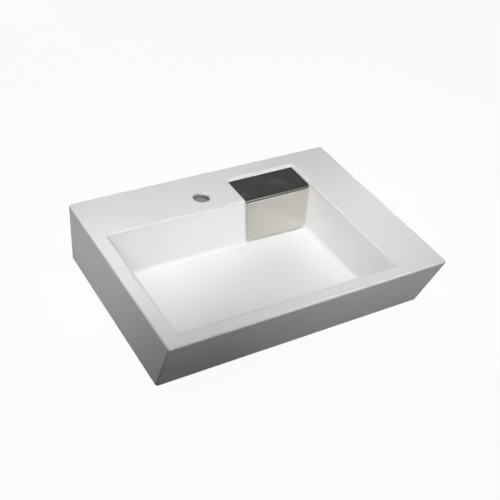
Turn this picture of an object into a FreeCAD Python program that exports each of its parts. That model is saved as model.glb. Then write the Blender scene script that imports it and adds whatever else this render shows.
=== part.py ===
import FreeCAD, Part
import math
import os
from FreeCAD import Vector

# Countertop basin, sizes in millimetres.
# X runs along the width to the right, Y to the back, Z up.
# The origin is the middle of the footprint on the counter.

# Basin outside
basin_width = 600.0
basin_depth = 450.0
basin_height = 135.0
side_taper = 5.0
front_undercut = 50.0
outer_corner_radius = 5.0
outer_rim_radius = 4.0
base_edge_radius = 1.5

# Ceramic thickness
wall = 10.0
deck_thickness = 8.0
ledge_embed = 5.0
boss_embed = 1.0

# Bowl, sizes taken at the height of the deck
rim_left = 30.0
rim_front = 28.0
rim_right = 103.0
deck_back = 123.0
floor_height = 34.0
side_slope = 0.096
back_slope = 0.15
front_slope = front_undercut / basin_height
rim_corner_radius = 5.0
floor_corner_radius = 14.0
bowl_floor_radius = 9.0
bowl_edge_radius = 4.5
floor_fall_x = 0.010
floor_fall_y = 0.010

# Drain niche at the back right of the bowl
niche_width = 162.0
niche_back_rim = 40.0
niche_slope = 0.052
niche_front_radius = 6.0
ledge_overlap = 7.5
ledge_edge_radius = 1.5
ledge_front_radius = 8.0
well_corner_radius = 8.0
well_floor_radius = 5.0

# Hollow under the basin
hollow_left_foot = 40.0
hollow_front_foot = 25.0
hollow_corner_radius = 8.0
hollow_roof_radius = 5.0
hollow_floor_radius = 5.0

# Tap hole in the back deck
tap_hole_radius = 17.5
tap_hole_from_niche = 79.0
tap_hole_from_back = 78.0
tap_lip_radius = 2.0

# Folded steel cover
sheet = 1.5
bend_radius = 10.5
cover_recess = 3.0
cover_setback = 0.8
cover_left_gap = 0.8
cover_right_gap = 3.5
cover_back_gap = 6.0
cover_floor_gap = 2.5
cover_back_corner = 1.5
cover_left_corner = 6.0
cover_right_corner = 9.0

# Soft pads and bumpers on the cover
pad_height = 2.0
pad_width = 5.0
pad_length = 14.0
pad_inset = 22.0
pad_edge = 0.5
bumper_height = 2.0
bumper_gap = 0.3
bumper_radius = 3.5
bumper_edge = 0.6
bumper_drop = 60.0

# Waste set in the niche floor
drain_from_right_wall = 82.0
drain_from_niche_back = 61.0
seat_radius = 33.0
seat_depth = 4.0
drain_hole_radius = 23.0
boss_radius = 37.0
boss_thickness = 8.0
grid_radius = 31.5
grid_sheet = 1.5
grid_rim_radius = 21.0
grid_dish_radius = 18.0
grid_dish_depth = 3.0
grid_outer_holes = 12
grid_outer_hole_radius = 2.7
grid_outer_pitch = 14.0
grid_inner_holes = 6
grid_inner_hole_radius = 1.9
grid_inner_pitch = 8.4
seal_upper_height = 2.0
seal_upper_inner = 24.5
seal_upper_outer = 31.0
seal_lower_height = 3.0
seal_lower_outer = 31.5
seal_gap = 0.3
flange_radius = 33.0
flange_height = 3.5
neck_radius = 21.5
neck_rise = 7.0
throat_radius = 17.0
tail_radius = 20.955
tail_end_height = 1.0
tail_chamfer = 1.0
hub_radius = 6.5
hub_height = 11.0
hub_base_height = 5.0
spider_arms = 3
spider_thickness = 2.6
insert_radius = 4.6
insert_height = 9.0
insert_flange_radius = 5.6
insert_flange_height = 1.0
screw_radius = 3.0
screw_clearance = 0.1
screw_grid_gap = 0.3
screw_length = 22.0
screw_head_radius = 5.0
screw_head_height = 2.4
screw_head_edge = 1.0
screw_slot_width = 1.2
screw_slot_depth = 1.1

# Reach of helper solids past the surfaces that they cut
reach = 20.0

# Distance within which an edge counts as lying at a place
near = 0.5

# Positions that follow from the sizes above
half_width = basin_width / 2
half_depth = basin_depth / 2
bowl_left = -half_width + rim_left
bowl_right = half_width - rim_right
bowl_front = -half_depth + rim_front
bowl_back = half_depth - deck_back
niche_left = bowl_right - niche_width
niche_back = half_depth - niche_back_rim
tap_hole_x = niche_left - tap_hole_from_niche
tap_hole_y = half_depth - tap_hole_from_back
drain_x = bowl_right - drain_from_right_wall
drain_y = niche_back - drain_from_niche_back
cover_top = basin_height - cover_recess
panel_lean = math.atan(back_slope)
panel_normal = Vector(0, math.cos(panel_lean), -math.sin(panel_lean))
ledge_top = cover_top - sheet - pad_height
seat_face = floor_height - seat_depth
boss_face = seat_face - boss_thickness
grid_under = seat_face + seal_upper_height
grid_top = grid_under + grid_sheet
dish_under = grid_under - grid_dish_depth
dish_top = dish_under + grid_sheet
flange_top = boss_face - seal_lower_height
flange_under = flange_top - flange_height
hub_top = hub_base_height + hub_height


def floor_at(x, y):
    """Height of the sloping floor, which falls to the drain corner."""
    return floor_height + floor_fall_x * (drain_x - x) + floor_fall_y * (drain_y - y)


def polyhedron(low, high):
    """Solid between four low and four high corners, both in the same turning order."""
    faces = [low[::-1], high]
    for i in range(4):
        j = (i + 1) % 4
        faces.append([low[i], low[j], high[j], high[i]])
    shell = Part.Shell([Part.Face(Part.makePolygon(f + [f[0]])) for f in faces])
    solid = Part.Solid(shell)
    if solid.Volume < 0:
        solid.reverse()
    return solid


def rectangle(x0, x1, y0, y1, z):
    return [Vector(x0, y0, z), Vector(x1, y0, z), Vector(x1, y1, z), Vector(x0, y1, z)]


def tapered_box(sides, z0, z1):
    """Box with leaning flat walls; sides(z) gives x0, x1, y0, y1 at a height."""
    return polyhedron(rectangle(*sides(z0), z0), rectangle(*sides(z1), z1))


def edges_where(shape, test):
    return [e for e in shape.Edges if test(e)]


def upright(edge):
    ends = [v.Point for v in edge.Vertexes]
    return len(ends) == 2 and abs(ends[0].z - ends[1].z) > reach


def all_at(edge, height):
    """True where every sampled point of the edge lies on height(x, y)."""
    if edge.Degenerated:
        return False
    points = edge.discretize(5)
    return all(abs(p.z - height(p.x, p.y)) < 1e-4 for p in points)


def round_edges(shape, radius, test):
    return shape.makeFillet(radius, edges_where(shape, test))


def corner_radius_at(z):
    """Radius of the bowl's upright corners, which tighten from the floor to the rim."""
    share = (z - floor_height) / (basin_height - floor_height)
    return floor_corner_radius + share * (rim_corner_radius - floor_corner_radius)


def round_corners(shape, test):
    """Rounds upright corners with the changing radius, those drawn upward and then those drawn downward."""
    for rising in (True, False):
        edges = edges_where(
            shape,
            lambda e: upright(e) and test(e) and (e.firstVertex().Z < e.lastVertex().Z) == rising,
        )
        if edges:
            first, last = edges[0].firstVertex(), edges[0].lastVertex()
            shape = shape.makeFillet(corner_radius_at(first.Z), corner_radius_at(last.Z), edges)
    return shape


def ring(inner, outer, z0, z1, x=drain_x, y=drain_y):
    base = Vector(x, y, z0)
    tube = Part.makeCylinder(outer, z1 - z0, base)
    return tube.cut(Part.makeCylinder(inner, z1 - z0, base))


def revolve(points, x=drain_x, y=drain_y):
    """Solid of revolution about the upright axis at x, y from (radius, height) points."""
    corners = [Vector(r, 0, z) for r, z in points]
    face = Part.Face(Part.makePolygon(corners + [corners[0]]))
    solid = face.revolve(Vector(0, 0, 0), Vector(0, 0, 1), 360)
    solid.translate(Vector(x, y, 0))
    return solid


def rounding_loss(slope):
    """How far the rolled rim of a wall leaning in by slope stays behind its sharp edge."""
    lean = math.atan(slope)
    return outer_rim_radius * ((1 + math.sin(lean)) / math.cos(lean) - 1)


def outside_at(z):
    """Plan of the outside at a height, with sharp edges that round to the overall size."""
    drop = basin_height - z
    side_lean = side_taper / basin_height
    front_lean = front_undercut / basin_height
    side = half_width + rounding_loss(side_lean) - side_lean * drop
    front = -half_depth - rounding_loss(front_lean) + front_lean * drop
    return -side, side, front, half_depth


def bowl_at(z, grow):
    drop = basin_height - z
    return (
        bowl_left + side_slope * drop - grow,
        bowl_right - side_slope * drop + grow,
        bowl_front + front_slope * drop - grow,
        bowl_back - back_slope * drop + grow,
    )


def niche_at(z, grow):
    drop = basin_height - z
    return (
        niche_left + niche_slope * drop - grow,
        bowl_right - side_slope * drop + grow,
        bowl_front + half_depth,
        niche_back - niche_slope * drop + grow,
    )


def cover_at(z):
    """Plan of the cover, which keeps its gaps to the niche's walls; the back one takes a fingertip."""
    left, right, front, back = niche_at(z, 0)
    return left + cover_left_gap, right - cover_right_gap, front, back - cover_back_gap


def well_at(z):
    """Plan of the drain well, narrowed by the ledge that reaches under the cover's edges."""
    left, right, front, back = cover_at(z)
    return left + ledge_overlap, right - ledge_overlap, front, back - ledge_overlap


def step_at(z):
    """Plan of the ceramic step behind the cover's front panel."""
    left, right, front, back = niche_at(z, ledge_embed)
    front = panel_face(z) + (sheet + bumper_height + bumper_gap) / math.cos(panel_lean)
    return left, right, front, back


def above_floor(drop):
    """Block whose underside is the sloping floor lowered by drop."""
    plan = rectangle(-half_width, half_width, -half_depth, half_depth, 0)
    low = [Vector(p.x, p.y, floor_at(p.x, p.y) - drop) for p in plan]
    high = [Vector(p.x, p.y, basin_height + reach) for p in plan]
    return polyhedron(low, high)


def sharp_bowl(grow):
    return tapered_box(lambda z: bowl_at(z, grow), 0, basin_height)


def sharp_niche(grow):
    return tapered_box(lambda z: niche_at(z, grow), 0, basin_height)


def behind_middle(edge):
    return edge.CenterOfMass.y > half_depth / 2


def wall_space():
    """Space that bowl and niche take up with their walls; only the niche's corners stand in the hollow."""
    niche = round_edges(sharp_niche(wall), floor_corner_radius, lambda e: upright(e) and behind_middle(e))
    return sharp_bowl(wall).fuse(niche).removeSplitter().common(above_floor(wall))


def bowl_space():
    """Space inside bowl and niche, with rounded corners and floor."""
    bowl = round_corners(sharp_bowl(0), upright)
    niche = round_corners(sharp_niche(0), behind_middle)
    space = bowl.fuse(niche).removeSplitter().common(above_floor(0))

    def at_niche_corner(edge):
        point = edge.CenterOfMass
        corner_x = niche_at(point.z, 0)[0]
        corner_y = bowl_at(point.z, 0)[3]
        return upright(edge) and abs(point.x - corner_x) < near and abs(point.y - corner_y) < near

    space = round_edges(space, niche_front_radius, at_niche_corner)
    return round_edges(space, bowl_floor_radius, lambda e: all_at(e, floor_at))


def niche_ledge():
    """U-shaped step in the niche that carries the cover, its front rounded to clear the cover's bend."""
    block = tapered_box(step_at, floor_height - ledge_embed, ledge_top)
    well = tapered_box(well_at, -reach, ledge_top + reach)
    middle = (bowl_back + niche_back) / 2
    well = round_edges(
        well,
        well_corner_radius,
        lambda e: upright(e) and e.CenterOfMass.y > middle,
    )
    well = well.common(above_floor(0))
    well = round_edges(
        well,
        well_floor_radius,
        lambda e: all_at(e, floor_at) and e.CenterOfMass.y > bowl_back,
    )
    block = block.cut(well)
    limit = cover_at(ledge_top)[3]

    def top_edge(edge):
        return all_at(edge, lambda x, y: ledge_top) and edge.CenterOfMass.y < limit and within_niche(edge)

    front = step_at(ledge_top)[2]
    block = round_edges(block, ledge_front_radius, lambda e: top_edge(e) and e.CenterOfMass.y < front + near)
    behind = front + ledge_front_radius + near
    return round_edges(block, ledge_edge_radius, lambda e: top_edge(e) and e.CenterOfMass.y > behind)


def within_niche(edge):
    left, right, front, back = niche_at(ledge_top, -near)
    return left < edge.CenterOfMass.x < right


def hollow():
    """Open space under the basin: below the floor and up behind both decks."""

    def plan(z):
        left, right, front, back = outside_at(z)
        base = outside_at(0)
        return base[0] + hollow_left_foot, right - wall, base[2] + hollow_front_foot, back - wall

    roof = basin_height - deck_thickness
    block = tapered_box(plan, -reach, roof)
    block = round_edges(block, hollow_corner_radius, upright)
    space = block.cut(wall_space())
    space = round_edges(space, hollow_roof_radius, lambda e: all_at(e, lambda x, y: roof))
    return round_edges(
        space,
        hollow_floor_radius,
        lambda e: all_at(e, lambda x, y: floor_at(x, y) - wall),
    )


def basin_body():
    body = tapered_box(outside_at, 0, basin_height)
    body = round_edges(body, outer_corner_radius, upright)
    body = round_edges(body, outer_rim_radius, lambda e: all_at(e, lambda x, y: basin_height))
    body = round_edges(body, base_edge_radius, lambda e: all_at(e, lambda x, y: 0))
    body = body.cut(bowl_space())
    inner = half_depth - outer_rim_radius - near

    def bowl_rim(edge):
        box = edge.BoundBox
        return (
            all_at(edge, lambda x, y: basin_height)
            and box.YMax < inner
            and box.YMin > -inner
            and box.XMin > bowl_left - near
            and box.XMax < bowl_right + near
        )

    body = round_edges(body, bowl_edge_radius, bowl_rim)
    body = body.fuse(niche_ledge()).removeSplitter()
    body = body.cut(hollow())
    boss_height = floor_height - boss_embed - boss_face
    boss = Part.makeCylinder(boss_radius, boss_height, Vector(drain_x, drain_y, boss_face))
    body = body.fuse(boss)
    seat = Part.makeCylinder(seat_radius, reach, Vector(drain_x, drain_y, seat_face))
    drain = Part.makeCylinder(drain_hole_radius, basin_height, Vector(drain_x, drain_y, 0))
    body = body.cut(seat.fuse(drain))
    tap_hole = Part.makeCylinder(tap_hole_radius, basin_height, Vector(tap_hole_x, tap_hole_y, reach))

    def tap_lip(edge):
        centre = Vector(tap_hole_x, tap_hole_y, basin_height)
        return all_at(edge, lambda x, y: basin_height) and edge.CenterOfMass.distanceToPoint(centre) < near

    body = body.cut(tap_hole)
    return round_edges(body, tap_lip_radius, tap_lip)


def panel_face(z):
    """Y of the cover's front face, which leans like the bowl's back wall."""
    return bowl_at(z, 0)[3] + cover_setback


def drain_cover():
    """One sheet folded along its top front edge, its sides cut to the niche's lean."""
    back = cover_at(cover_top)[3]
    low = floor_at(drain_x, panel_face(floor_height)) + cover_floor_gap
    outer = [
        Vector(0, back, cover_top),
        Vector(0, panel_face(cover_top), cover_top),
        Vector(0, panel_face(low), low),
    ]
    inner_low = outer[2] + panel_normal * sheet
    inner_fold_z = cover_top - sheet
    inner_fold = Vector(0, panel_face(inner_fold_z) + sheet / math.cos(panel_lean), inner_fold_z)
    corners = outer + [inner_low, inner_fold, Vector(0, back, inner_fold_z)]
    face = Part.Face(Part.makePolygon(corners + [corners[0]]))
    strip = face.extrude(Vector(basin_width, 0, 0))
    strip.translate(Vector(-half_width, 0, 0))

    def lies_at(edge, corner):
        point = edge.CenterOfMass
        return abs(point.y - corner.y) < near and abs(point.z - corner.z) < near

    strip = round_edges(strip, bend_radius, lambda e: lies_at(e, inner_fold))
    strip = round_edges(strip, bend_radius + sheet, lambda e: lies_at(e, outer[1]))

    def plan(z):
        left, right, front, rear = cover_at(z)
        return left, right, front - half_depth, rear + reach

    cover = strip.common(tapered_box(plan, -reach, basin_height + reach))

    def corner_edge(edge, right_side, rear):
        point = edge.CenterOfMass
        if edge.Length > 2 * sheet or (point.x > drain_x) != right_side:
            return False
        if rear:
            return abs(point.y - back) < near
        return point.z < low + sheet and abs(point.x - drain_x) > niche_width / 4

    cover = round_edges(cover, cover_left_corner, lambda e: corner_edge(e, False, False))
    cover = round_edges(cover, cover_right_corner, lambda e: corner_edge(e, True, False))
    cover = round_edges(cover, cover_back_corner, lambda e: corner_edge(e, False, True))
    return round_edges(cover, cover_back_corner, lambda e: corner_edge(e, True, True))


def cover_pads():
    """Four soft pads between the cover's top and the ledge."""
    left, right, front, back = cover_at(ledge_top)
    inset = (ledge_overlap - pad_width) / 2
    middle = (bowl_back + niche_back) / 2
    plans = [
        (left + inset, middle - pad_length / 2, pad_width, pad_length),
        (right - inset - pad_width, middle - pad_length / 2, pad_width, pad_length),
        (left + pad_inset, back - inset - pad_width, pad_length, pad_width),
        (right - pad_inset - pad_length, back - inset - pad_width, pad_length, pad_width),
    ]
    pads = []
    for x, y, along_x, along_y in plans:
        pad = Part.makeBox(along_x, along_y, pad_height, Vector(x, y, ledge_top))
        pads.append(round_edges(pad, pad_edge, lambda e: all_at(e, lambda u, v: ledge_top)))
    return Part.makeCompound(pads)


def cover_bumpers():
    """Two soft buttons between the front panel and the step behind it."""
    z = cover_top - bumper_drop
    start = Vector(0, panel_face(z), z) + panel_normal * sheet
    left, right, front, back = cover_at(z)
    bumpers = []
    for x in (left + ledge_overlap / 2, right - ledge_overlap / 2):
        base = Vector(x, start.y, start.z)
        button = Part.makeCylinder(bumper_radius, bumper_height, base, panel_normal)
        tip = base + panel_normal * bumper_height
        bumpers.append(
            round_edges(button, bumper_edge, lambda e: e.CenterOfMass.distanceToPoint(tip) < near)
        )
    return Part.makeCompound(bumpers)


def around(count, pitch, start=0.0):
    """Places spaced evenly on a circle about the drain axis."""
    for i in range(count):
        angle = start + 2 * math.pi * i / count
        yield drain_x + pitch * math.cos(angle), drain_y + pitch * math.sin(angle)


def waste_grid():
    grid = revolve(
        [
            (screw_radius + screw_grid_gap, dish_under),
            (grid_dish_radius, dish_under),
            (grid_rim_radius, grid_under),
            (grid_radius, grid_under),
            (grid_radius, grid_top),
            (grid_rim_radius - grid_sheet / 2, grid_top),
            (grid_dish_radius - grid_sheet / 2, dish_top),
            (screw_radius + screw_grid_gap, dish_top),
        ]
    )
    holes = []
    for count, pitch, radius in (
        (grid_outer_holes, grid_outer_pitch, grid_outer_hole_radius),
        (grid_inner_holes, grid_inner_pitch, grid_inner_hole_radius),
    ):
        for x, y in around(count, pitch):
            holes.append(Part.makeCylinder(radius, reach, Vector(x, y, dish_under - reach / 2)))
    return grid.cut(Part.makeCompound(holes))


def waste_screw():
    head = Part.makeCylinder(screw_head_radius, screw_head_height, Vector(drain_x, drain_y, dish_top))
    top = dish_top + screw_head_height
    head = round_edges(head, screw_head_edge, lambda e: all_at(e, lambda x, y: top))
    slot = Part.makeBox(
        4 * screw_head_radius,
        screw_slot_width,
        reach,
        Vector(drain_x - 2 * screw_head_radius, drain_y - screw_slot_width / 2, top - screw_slot_depth),
    )
    shank = Part.makeCylinder(screw_radius, screw_length, Vector(drain_x, drain_y, dish_top - screw_length))
    return head.cut(slot).fuse(shank).removeSplitter()


def waste_body():
    """Flanged neck with a spider for the screw bush and a tail for the trap."""
    neck_top = flange_top + neck_rise
    shell = revolve(
        [
            (throat_radius, tail_end_height),
            (tail_radius - tail_chamfer, tail_end_height),
            (tail_radius, tail_end_height + tail_chamfer),
            (tail_radius, flange_under),
            (flange_radius, flange_under),
            (flange_radius, flange_top),
            (neck_radius, flange_top),
            (neck_radius, neck_top),
            (throat_radius, neck_top),
        ]
    )
    hub = Part.makeCylinder(hub_radius, hub_height, Vector(drain_x, drain_y, hub_base_height))
    reach_out = (throat_radius + tail_radius) / 2
    arms = []
    for i in range(spider_arms):
        arm = Part.makeBox(
            reach_out,
            spider_thickness,
            hub_height,
            Vector(drain_x, drain_y - spider_thickness / 2, hub_base_height),
        )
        arm.rotate(Vector(drain_x, drain_y, 0), Vector(0, 0, 1), 360 * i / spider_arms)
        arms.append(arm)
    body = shell.multiFuse([hub] + arms)
    return body.cut(insert_solid(0)).removeSplitter()


def insert_solid(bore):
    """Bush outline; a bore of zero gives the plug that its pocket is cut with."""
    low = hub_top - insert_height
    bush = Part.makeCylinder(insert_radius, insert_height, Vector(drain_x, drain_y, low))
    collar = Part.makeCylinder(
        insert_flange_radius,
        insert_flange_height,
        Vector(drain_x, drain_y, hub_top - insert_flange_height),
    )
    bush = bush.fuse(collar).removeSplitter()
    if bore > 0:
        bush = bush.cut(Part.makeCylinder(bore, insert_height, Vector(drain_x, drain_y, low)))
    return bush


nodes = {
    "basin_body": basin_body(),
    "drain_cover": drain_cover(),
    "cover_pads": cover_pads(),
    "cover_bumpers": cover_bumpers(),
    "waste_grid": waste_grid(),
    "waste_screw": waste_screw(),
    "waste_seal_upper": ring(seal_upper_inner, seal_upper_outer, seat_face, grid_under),
    "waste_seal_lower": ring(neck_radius + seal_gap, seal_lower_outer, flange_top, boss_face),
    "waste_body": waste_body(),
    "waste_insert": insert_solid(screw_radius + screw_clearance),
}

os.makedirs("parts", exist_ok=True)
for name, shape in nodes.items():
    shape.exportStep("parts/" + name + ".step")
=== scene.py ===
import math

import bmesh
import bpy
from mathutils import Matrix, Vector


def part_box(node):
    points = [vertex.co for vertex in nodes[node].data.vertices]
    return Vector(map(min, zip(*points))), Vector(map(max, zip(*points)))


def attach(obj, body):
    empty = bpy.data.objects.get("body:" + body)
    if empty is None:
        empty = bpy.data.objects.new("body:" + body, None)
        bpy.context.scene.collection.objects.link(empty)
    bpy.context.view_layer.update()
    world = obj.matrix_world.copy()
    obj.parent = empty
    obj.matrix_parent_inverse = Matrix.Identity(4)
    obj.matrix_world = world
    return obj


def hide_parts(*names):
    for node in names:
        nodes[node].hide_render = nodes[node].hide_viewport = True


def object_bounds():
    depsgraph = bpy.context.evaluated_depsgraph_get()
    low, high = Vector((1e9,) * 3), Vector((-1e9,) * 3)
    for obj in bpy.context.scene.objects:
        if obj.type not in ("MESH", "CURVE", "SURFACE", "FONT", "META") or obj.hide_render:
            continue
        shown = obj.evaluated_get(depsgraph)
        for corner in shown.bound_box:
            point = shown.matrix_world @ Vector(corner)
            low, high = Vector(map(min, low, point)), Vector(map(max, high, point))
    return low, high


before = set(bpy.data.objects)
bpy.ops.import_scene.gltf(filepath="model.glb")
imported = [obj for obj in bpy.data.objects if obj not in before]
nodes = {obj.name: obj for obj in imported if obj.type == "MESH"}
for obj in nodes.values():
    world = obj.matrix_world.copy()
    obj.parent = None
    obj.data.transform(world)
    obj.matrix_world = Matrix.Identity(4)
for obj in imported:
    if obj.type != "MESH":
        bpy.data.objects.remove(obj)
cad_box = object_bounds()
scene = bpy.context.scene

# Basin body: one hollow slip casting in white sanitary clay, sprayed with an opaque white glaze and fired.
# The glaze is glassy on every face in use, is darker along the bowl's rim as painted shade, is dull in the
# hollow underneath, and is wiped off the foot that the basin stands on.


class Wire:
    """One output socket of a shader tree. Arithmetic on it adds Math nodes."""

    def __init__(self, tree, socket):
        self.tree = tree
        self.socket = socket

    def node(self, kind, settings, sockets, output=0):
        """Adds a node: its settings first, then values or links for its sockets."""
        made = self.tree.nodes.new(kind)
        for name, value in settings.items():
            setattr(made, name, value)
        for name, value in sockets.items():
            if isinstance(value, Wire):
                self.tree.links.new(value.socket, made.inputs[name])
            else:
                made.inputs[name].default_value = value
        return Wire(self.tree, made.outputs[output]) if made.outputs else None

    def out(self, name):
        """Another output of the same node."""
        return Wire(self.tree, self.socket.node.outputs[name])

    def maths(self, operation, first, second):
        return self.node("ShaderNodeMath", {"operation": operation}, {0: first, 1: second})

    def __add__(self, other):
        return self.maths("ADD", self, other)

    __radd__ = __add__

    def __sub__(self, other):
        return self.maths("SUBTRACT", self, other)

    def __rsub__(self, other):
        return self.maths("SUBTRACT", other, self)

    def __mul__(self, other):
        return self.maths("MULTIPLY", self, other)

    __rmul__ = __mul__

    def __gt__(self, other):
        return self.maths("GREATER_THAN", self, other)

    def __lt__(self, other):
        return self.maths("LESS_THAN", self, other)

    def least(self, other):
        return self.maths("MINIMUM", self, other)

    def most(self, other):
        return self.maths("MAXIMUM", self, other)

    def rise(self, low, high):
        """0 below low, 1 above high, smooth between."""
        sockets = {"Value": self, "From Min": low, "From Max": high}
        return self.node("ShaderNodeMapRange", {"interpolation_type": "SMOOTHSTEP"}, sockets)

    def tint(self, colour, other):
        """Goes from colour to other as this value goes from 0 to 1."""
        start, end = (tone if isinstance(tone, Wire) else (*tone, 1.0) for tone in (colour, other))
        colour_a, colour_b, colour_result = 6, 7, 2  # the node has other sockets for numbers and vectors
        sockets = {"Factor": self, colour_a: start, colour_b: end}
        return self.node("ShaderNodeMix", {"data_type": "RGBA"}, sockets, colour_result)

    def noise(self, scale, detail, roughness=0.5):
        """Soft random patches with values from 0 to 1; a larger scale makes them smaller."""
        sockets = {"Vector": self, "Scale": scale, "Detail": detail, "Roughness": roughness}
        return self.node("ShaderNodeTexNoise", {}, sockets, "Fac")

    def bump(self, strength, distance):
        """The normal of a relief that has this value as its height."""
        sockets = {"Height": self, "Strength": strength, "Distance": distance}
        return self.node("ShaderNodeBump", {}, sockets)


def new_finish(name):
    """A material with an empty tree, and the place on the object in metres."""
    material = bpy.data.materials.new(name)
    material.use_nodes = True
    tree = material.node_tree
    tree.nodes.clear()
    coordinates = tree.nodes.new("ShaderNodeTexCoord")
    return material, Wire(tree, coordinates.outputs["Object"])


def close_finish(shader):
    """Joins a finish's last shader to its material's output."""
    shader.node("ShaderNodeOutputMaterial", {}, {"Surface": shader})


def dress(pieces, material, place, sockets):
    """Ends a finish in one shader and gives it to solids in place of the plain one they came with."""
    close_finish(place.node("ShaderNodeBsdfPrincipled", {}, sockets))
    for piece in pieces:
        slots = nodes[piece].data.materials
        slots.clear()
        slots.append(material)


(left, front, _), (right, back, rim_height) = cad_box
left_rim, front_rim, right_deck, back_deck = 0.030, 0.028, 0.103, 0.123
niche_width, niche_wall = 0.162, 0.040
side_slope, front_slope, back_slope, niche_slope = 0.096, 0.370, 0.150, 0.052
floor_height, floor_fall, half_wall, foot_height = 0.034, 0.010, 0.005, 0.0009
right_inset, front_inset, back_inset, top_inset = 0.010, 0.060, 0.0055, 0.005
edge_middle, edge_end = 0.0012, 0.0046
bowl_left, bowl_right = left + left_rim, right - right_deck
bowl_front, bowl_back = front + front_rim, back - back_deck
niche_left, niche_back = bowl_right - niche_width, back - niche_wall
hollow_left, hollow_right = left + left_rim, right - right_inset
hollow_front, hollow_back, hollow_top = front + front_inset, back - back_inset, rim_height - top_inset
waste_low, waste_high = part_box("waste_body")
drain_x, drain_y, _ = (waste_low + waste_high) / 2

glaze, place = new_finish("sanitary_glaze")
axes = place.node("ShaderNodeSeparateXYZ", {}, {"Vector": place})
x, y, z = axes.out("X"), axes.out("Y"), axes.out("Z")
drop = rim_height - z
in_bowl = (x - bowl_left - side_slope * drop).least(bowl_right - side_slope * drop - x)
in_bowl = in_bowl.least(y - bowl_front - front_slope * drop).least(bowl_back - back_slope * drop - y)
in_niche = (x - niche_left - niche_slope * drop).least(bowl_right - side_slope * drop - x)
in_niche = in_niche.least(niche_back - niche_slope * drop - y).least(y)
over_floor = z - floor_height - floor_fall * (drain_x - x) - floor_fall * (drain_y - y)
in_use = in_bowl.most(in_niche).least(over_floor) > -half_wall
in_hollow = (x - hollow_left).least(hollow_right - x).least(hollow_top - z)
in_hollow = in_hollow.least(y - hollow_front).least(hollow_back - y)
dull = (in_hollow > 0.0) * (1.0 - in_use)
foot = z < foot_height
# Painted shade: a darker band a few millimetres wide along the bowl's rim, which tones down the rim's
# bright edge.
rim_shade = 1.0 - (0.0 - in_bowl).most(drop).rise(edge_middle, edge_end)

glaze_whites = (0.895, 0.895, 0.89), (0.915, 0.915, 0.912)
# The darker white of the painted shade along the bowl's rim.
rim_shade_white = (0.815, 0.812, 0.805)
dull_whites = (0.80, 0.79, 0.76), (0.85, 0.84, 0.815)
clay_tones = (0.62, 0.57, 0.50), (0.72, 0.68, 0.61)
cloud = place.noise(scale=6.0, detail=3.0)
ripple = place.noise(scale=55.0, detail=2.0, roughness=0.4)
grit = place.noise(scale=900.0, detail=3.0, roughness=0.6)
glazed = rim_shade.tint(cloud.rise(0.25, 0.75).tint(*glaze_whites), rim_shade_white)
dull_glazed = grit.rise(0.35, 0.7).tint(*dull_whites)
clay = grit.rise(0.3, 0.7).tint(*clay_tones)
relief = 0.5 * ripple * (1.0 - dull) + grit * (0.35 * dull + 0.5 * foot)
glaze_sockets = {
    "Base Color": foot.tint(dull.tint(glazed, dull_glazed), clay),
    "Roughness": 0.10 + 0.05 * cloud + 0.32 * dull + 0.45 * foot,
    "Normal": relief.bump(strength=0.06, distance=0.001),
    "IOR": 1.35,
}
dress(["basin_body"], glaze, place, glaze_sockets)

# Drain cover: one piece of stainless sheet, laser cut and folded once to an L with a wide bend.
# It lies loose on the niche ledge; the grain left by brushing runs along the fold.
steel_tones = (0.70, 0.68, 0.632), (0.76, 0.738, 0.688)
grain_scale = (14.0, 900.0, 900.0)
steel, place = new_finish("brushed_cover_steel")
grain_place = place.node("ShaderNodeVectorMath", {"operation": "MULTIPLY"}, {0: place, 1: grain_scale})
grain = grain_place.noise(scale=1.0, detail=3.0)
smear = place.noise(scale=16.0, detail=3.0)
steel_sockets = {
    "Base Color": grain.rise(0.2, 0.8).tint(*steel_tones),
    "Metallic": 1.0,
    "Roughness": 0.12 + 0.06 * grain + 0.16 * smear.rise(0.4, 0.75),
    "Normal": grain.bump(strength=0.04, distance=0.0005),
}
dress(["drain_cover"], steel, place, steel_sockets)

# Cover pads and bumpers: milky silicone buttons stuck under the sheet so that steel never meets glaze.
# They are cast, slightly see-through in life, and dusty where they have been handled.


def mottled_finish(name, pieces, tones, smooth, rough, scale, detail=3.0, metal=0.0):
    """A finish with a fine mottle that goes from one tone and roughness to another."""
    material, place = new_finish(name)
    mottle = place.noise(scale, detail)
    sockets = {
        "Base Color": mottle.rise(0.3, 0.7).tint(*tones),
        "Metallic": metal,
        "Roughness": smooth + (rough - smooth) * mottle,
    }
    dress(pieces, material, place, sockets)
    return material


silicone_tones = (0.66, 0.67, 0.66), (0.78, 0.78, 0.77)
buttons = ["cover_pads", "cover_bumpers"]
mottled_finish("milky_silicone", buttons, silicone_tones, smooth=0.35, rough=0.55, scale=700.0)

# Waste strainer and its centre screw: pressed and turned stainless steel, polished.
# The screw pulls the strainer down on its seal from above.
bright_tones = (0.62, 0.615, 0.60), (0.70, 0.695, 0.68)
mottled_finish(
    "polished_waste_steel",
    ["waste_grid", "waste_screw"],
    bright_tones,
    smooth=0.12,
    rough=0.28,
    scale=220.0,
    detail=4.0,
    metal=1.0,
)

# Waste seals: flat black rubber rings, punched from sheet, squeezed between ceramic and waste.
# Their faces keep the fine matt texture of the sheet.
rubber_tones = (0.025, 0.025, 0.026), (0.06, 0.06, 0.06)
seals = ["waste_seal_upper", "waste_seal_lower"]
mottled_finish("black_seal_rubber", seals, rubber_tones, smooth=0.55, rough=0.80, scale=500.0)

# Waste body: white polypropylene moulding with flange, neck, spider and the threaded tail for the trap.
# It hangs under the niche floor from the centre screw. The tail's pipe thread is moulded with it
# and runs out below the flange.
plastic_tones = (0.76, 0.76, 0.74), (0.83, 0.83, 0.81)
plastic = mottled_finish(
    "white_waste_plastic",
    ["waste_body"],
    plastic_tones,
    smooth=0.36,
    rough=0.50,
    scale=90.0,
)

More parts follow.
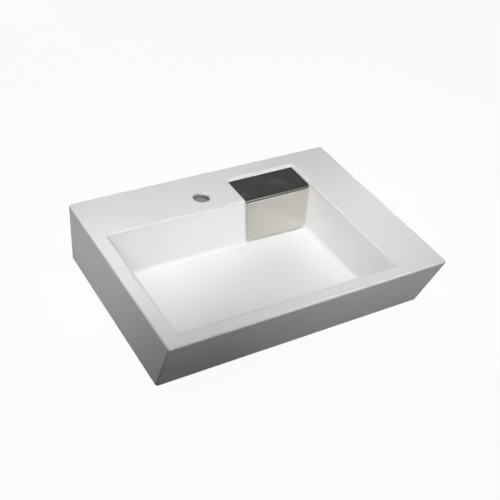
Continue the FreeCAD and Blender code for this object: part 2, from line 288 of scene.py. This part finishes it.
tail_radius, pitch, depth = 0.020955, 0.002309, 0.00148
flank = math.tan(math.radians(27.5))
root_half, proud = 0.00022, 0.0002
groove_start, groove_end = -0.0016, 0.0122
steps_per_turn = 64
weld = 0.000001
crease = math.radians(12.0)

# The thread's groove winds up round the tail and gets shallower over its last turn.
steps = round((groove_end - groove_start) / pitch * steps_per_turn)
crest = tail_radius + proud
coil = bmesh.new()
ring = []
for step in range(steps + 1):
    angle = 2.0 * math.pi * step / steps_per_turn
    run_out = min(1.0, (steps - step) / steps_per_turn)
    root = tail_radius + proud / 2 - (depth + proud / 2) * run_out
    crest_half = root_half + (crest - root) * flank
    middle = groove_start + pitch * step / steps_per_turn
    profile = (root, root_half), (root, -root_half), (crest, -crest_half), (crest, crest_half)
    last = ring
    ring = [
        coil.verts.new((drain_x + out * math.cos(angle), drain_y + out * math.sin(angle), middle + up))
        for out, up in profile
    ]
    if last:
        for corner in range(len(ring)):
            following = (corner + 1) % len(ring)
            coil.faces.new((last[corner], last[following], ring[following], ring[corner]))
    else:
        coil.faces.new(ring)
coil.faces.new(ring[::-1])
bmesh.ops.recalc_face_normals(coil, faces=coil.faces)
groove = bpy.data.objects.new("groove", bpy.data.meshes.new("groove"))
coil.to_mesh(groove.data)
coil.free()
scene.collection.objects.link(groove)

blank = bmesh.new()
blank.from_mesh(nodes["waste_body"].data)
bmesh.ops.remove_doubles(blank, verts=blank.verts, dist=weld)
threaded = bpy.data.objects.new("threaded_waste_body", bpy.data.meshes.new("threaded_waste_body"))
blank.to_mesh(threaded.data)
blank.free()
scene.collection.objects.link(threaded)
cut = threaded.modifiers.new("cut", "BOOLEAN")
cut.operation = "DIFFERENCE"
cut.solver = "EXACT"
cut.object = groove
cut_mesh = bpy.data.meshes.new_from_object(threaded.evaluated_get(bpy.context.evaluated_depsgraph_get()))
threaded.modifiers.clear()
threaded.data = cut_mesh
bpy.data.objects.remove(groove)
cut_mesh.polygons.foreach_set("use_smooth", [True] * len(cut_mesh.polygons))
cut_mesh.set_sharp_from_angle(angle=crease)
cut_mesh.materials.clear()
cut_mesh.materials.append(plastic)
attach(threaded, "basin")
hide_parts("waste_body")

# Screw bush: turned brass, moulded into the hub of the spider.
# It takes the centre screw's thread.
brass_tones = (0.62, 0.45, 0.18), (0.74, 0.57, 0.27)
mottled_finish(
    "turned_brass",
    ["waste_insert"],
    brass_tones,
    smooth=0.22,
    rough=0.42,
    scale=800.0,
    detail=2.0,
    metal=1.0,
)

# Floor: a plain pale sheet that the basin stands on, wide enough to fill the view, which keeps the shadow.
# It shows white to the camera and half as bright in reflections, and throws little light back on the basin.
reach, level = 40.0, -0.0002
seen_glow, mirrored_glow = 0.95, 0.5
table_grey, paper_white, glow_white = ((tone, tone, tone, 1.0) for tone in (0.05, 0.85, 1.0))
floor_mesh = bpy.data.meshes.new("floor")
floor_mesh.from_pydata(
    [(-reach, -reach, level), (reach, -reach, level), (reach, reach, level), (-reach, reach, level)],
    [],
    [(0, 1, 2, 3)],
)
floor = bpy.data.objects.new("floor", floor_mesh)
scene.collection.objects.link(floor)
paper, place = new_finish("pale_floor")
camera_ray = place.node("ShaderNodeLightPath", {}, {}, "Is Camera Ray")
seen = camera_ray.most(camera_ray.out("Is Glossy Ray")).most(camera_ray.out("Is Transmission Ray"))
glow_share = mirrored_glow + (seen_glow - mirrored_glow) * camera_ray
table = place.node("ShaderNodeBsdfDiffuse", {}, {"Color": table_grey})
sheet = place.node("ShaderNodeBsdfDiffuse", {}, {"Color": paper_white})
glow = place.node("ShaderNodeEmission", {}, {"Color": glow_white, "Strength": 1.0})
shown = place.node("ShaderNodeMixShader", {}, {0: glow_share, 1: sheet, 2: glow})
close_finish(place.node("ShaderNodeMixShader", {}, {0: seen, 1: table, 2: shown}))
floor_mesh.materials.append(paper)

# Light: a large soft box overhead, and small lamps beside the camera, aimed past the near corner at the far
# side, the right end and the bowl's back wall. Boxes at the left light the rim and the end face, and one at
# the right the cover's fold. Two boxes below the rim's height light the outside of the back and right end.
studio = Vector((0.0, 0.0, 0.1))
far_side = Vector((0.0, 0.35, 0.1))
right_side = Vector((0.35, 0.05, 0.1))
bowl_wall = Vector((-0.12, 0.12, 0.1))
rim_at_left = Vector((-0.29, 0.0, 0.135))
left_end = Vector((-0.3, 0.28, 0.1))


def soft_box(name, azimuth, elevation, size, aim, spread, power, distance=2.0):
    """A square lamp on a sphere about the basin; azimuth 0 is the front, and the right is positive."""
    turn, rise = math.radians(azimuth), math.radians(elevation)
    way = Vector((math.sin(turn) * math.cos(rise), -math.cos(turn) * math.cos(rise), math.sin(rise)))
    lamp = bpy.data.lights.new(name, "AREA")
    lamp.size = size
    lamp.spread = math.radians(spread)
    lamp.energy = power
    box = bpy.data.objects.new(name, lamp)
    box.location = studio + distance * way
    box.rotation_euler = (aim - box.location).to_track_quat("-Z", "Y").to_euler()
    box.visible_camera = False
    scene.collection.objects.link(box)
    return box


overhead = soft_box(
    "overhead_box", azimuth=0, elevation=85, size=1.5, aim=studio, spread=80, power=4.75, distance=2.2
)
overhead.visible_glossy = False
soft_box("camera_lamp_far", azimuth=-34, elevation=40, size=0.06, aim=far_side, spread=26, power=0.16)
soft_box("camera_lamp_far_wide", azimuth=-34, elevation=40, size=0.06, aim=far_side, spread=36, power=0.2)
soft_box("camera_lamp_right", azimuth=-34, elevation=40, size=0.06, aim=right_side, spread=26, power=0.58)
soft_box("camera_lamp_bowl", azimuth=-34, elevation=30, size=0.06, aim=bowl_wall, spread=14, power=0.047)
soft_box("left_rim_box", azimuth=-60, elevation=60, size=0.3, aim=rim_at_left, spread=12, power=0.085)
soft_box("left_end_box", azimuth=-70, elevation=40, size=0.3, aim=left_end, spread=20, power=0.15)
soft_box("fill_box", azimuth=40, elevation=50, size=0.8, aim=studio, spread=180, power=1.0, distance=2.2)
soft_box("low_back_box", azimuth=180, elevation=-1.15, size=0.1, aim=studio, spread=50, power=0.6)
soft_box("low_right_box", azimuth=90, elevation=-1.15, size=0.1, aim=studio, spread=50, power=0.6)

# Room: white all round to the camera, and no light of its own.
# In reflections it is white near the horizon, with a dim grey ceiling that the cover's top mirrors.
white, dark, ceiling_grey = (1.0, 1.0, 1.0), (0.0, 0.0, 0.0), (0.071, 0.074, 0.078)
wall_end, ceiling_start = 0.15, 0.4
world = bpy.data.worlds.new("room")
world.use_nodes = True
world.node_tree.nodes.clear()
way = Wire(world.node_tree, world.node_tree.nodes.new("ShaderNodeTexCoord").outputs["Generated"])
height = way.node("ShaderNodeSeparateXYZ", {}, {"Vector": way}).out("Z")
camera_ray = way.node("ShaderNodeLightPath", {}, {}, "Is Camera Ray")
mirrored = camera_ray.out("Is Glossy Ray").most(camera_ray.out("Is Transmission Ray"))
ceiling = height.rise(wall_end, ceiling_start).tint(white, ceiling_grey)
surroundings = camera_ray.tint(mirrored.tint(dark, ceiling), white)
backdrop = way.node("ShaderNodeBackground", {}, {"Color": surroundings, "Strength": 1.0})
way.node("ShaderNodeOutputWorld", {}, {"Surface": backdrop})
scene.world = world

# Camera: stands above the front left of the basin and looks down on it through a short telephoto lens.
# It is turned a little on its own axis, so the basin's upright edges lean.
stand = Vector((-0.8292, -1.2047, 1.2163))
turn, tilt, roll = math.radians(-34.23), math.radians(37.61), math.radians(6.95)
lens = bpy.data.cameras.new("camera")
lens.sensor_width = 36.0
lens.lens = 66.9
camera = bpy.data.objects.new("camera", lens)
camera.matrix_world = (
    Matrix.Translation(stand)
    @ Matrix.Rotation(turn, 4, "Z")
    @ Matrix.Rotation(math.pi / 2 - tilt, 4, "X")
    @ Matrix.Rotation(roll, 4, "Z")
)
scene.collection.objects.link(camera)
scene.camera = camera
scene.view_settings.view_transform = "Standard"
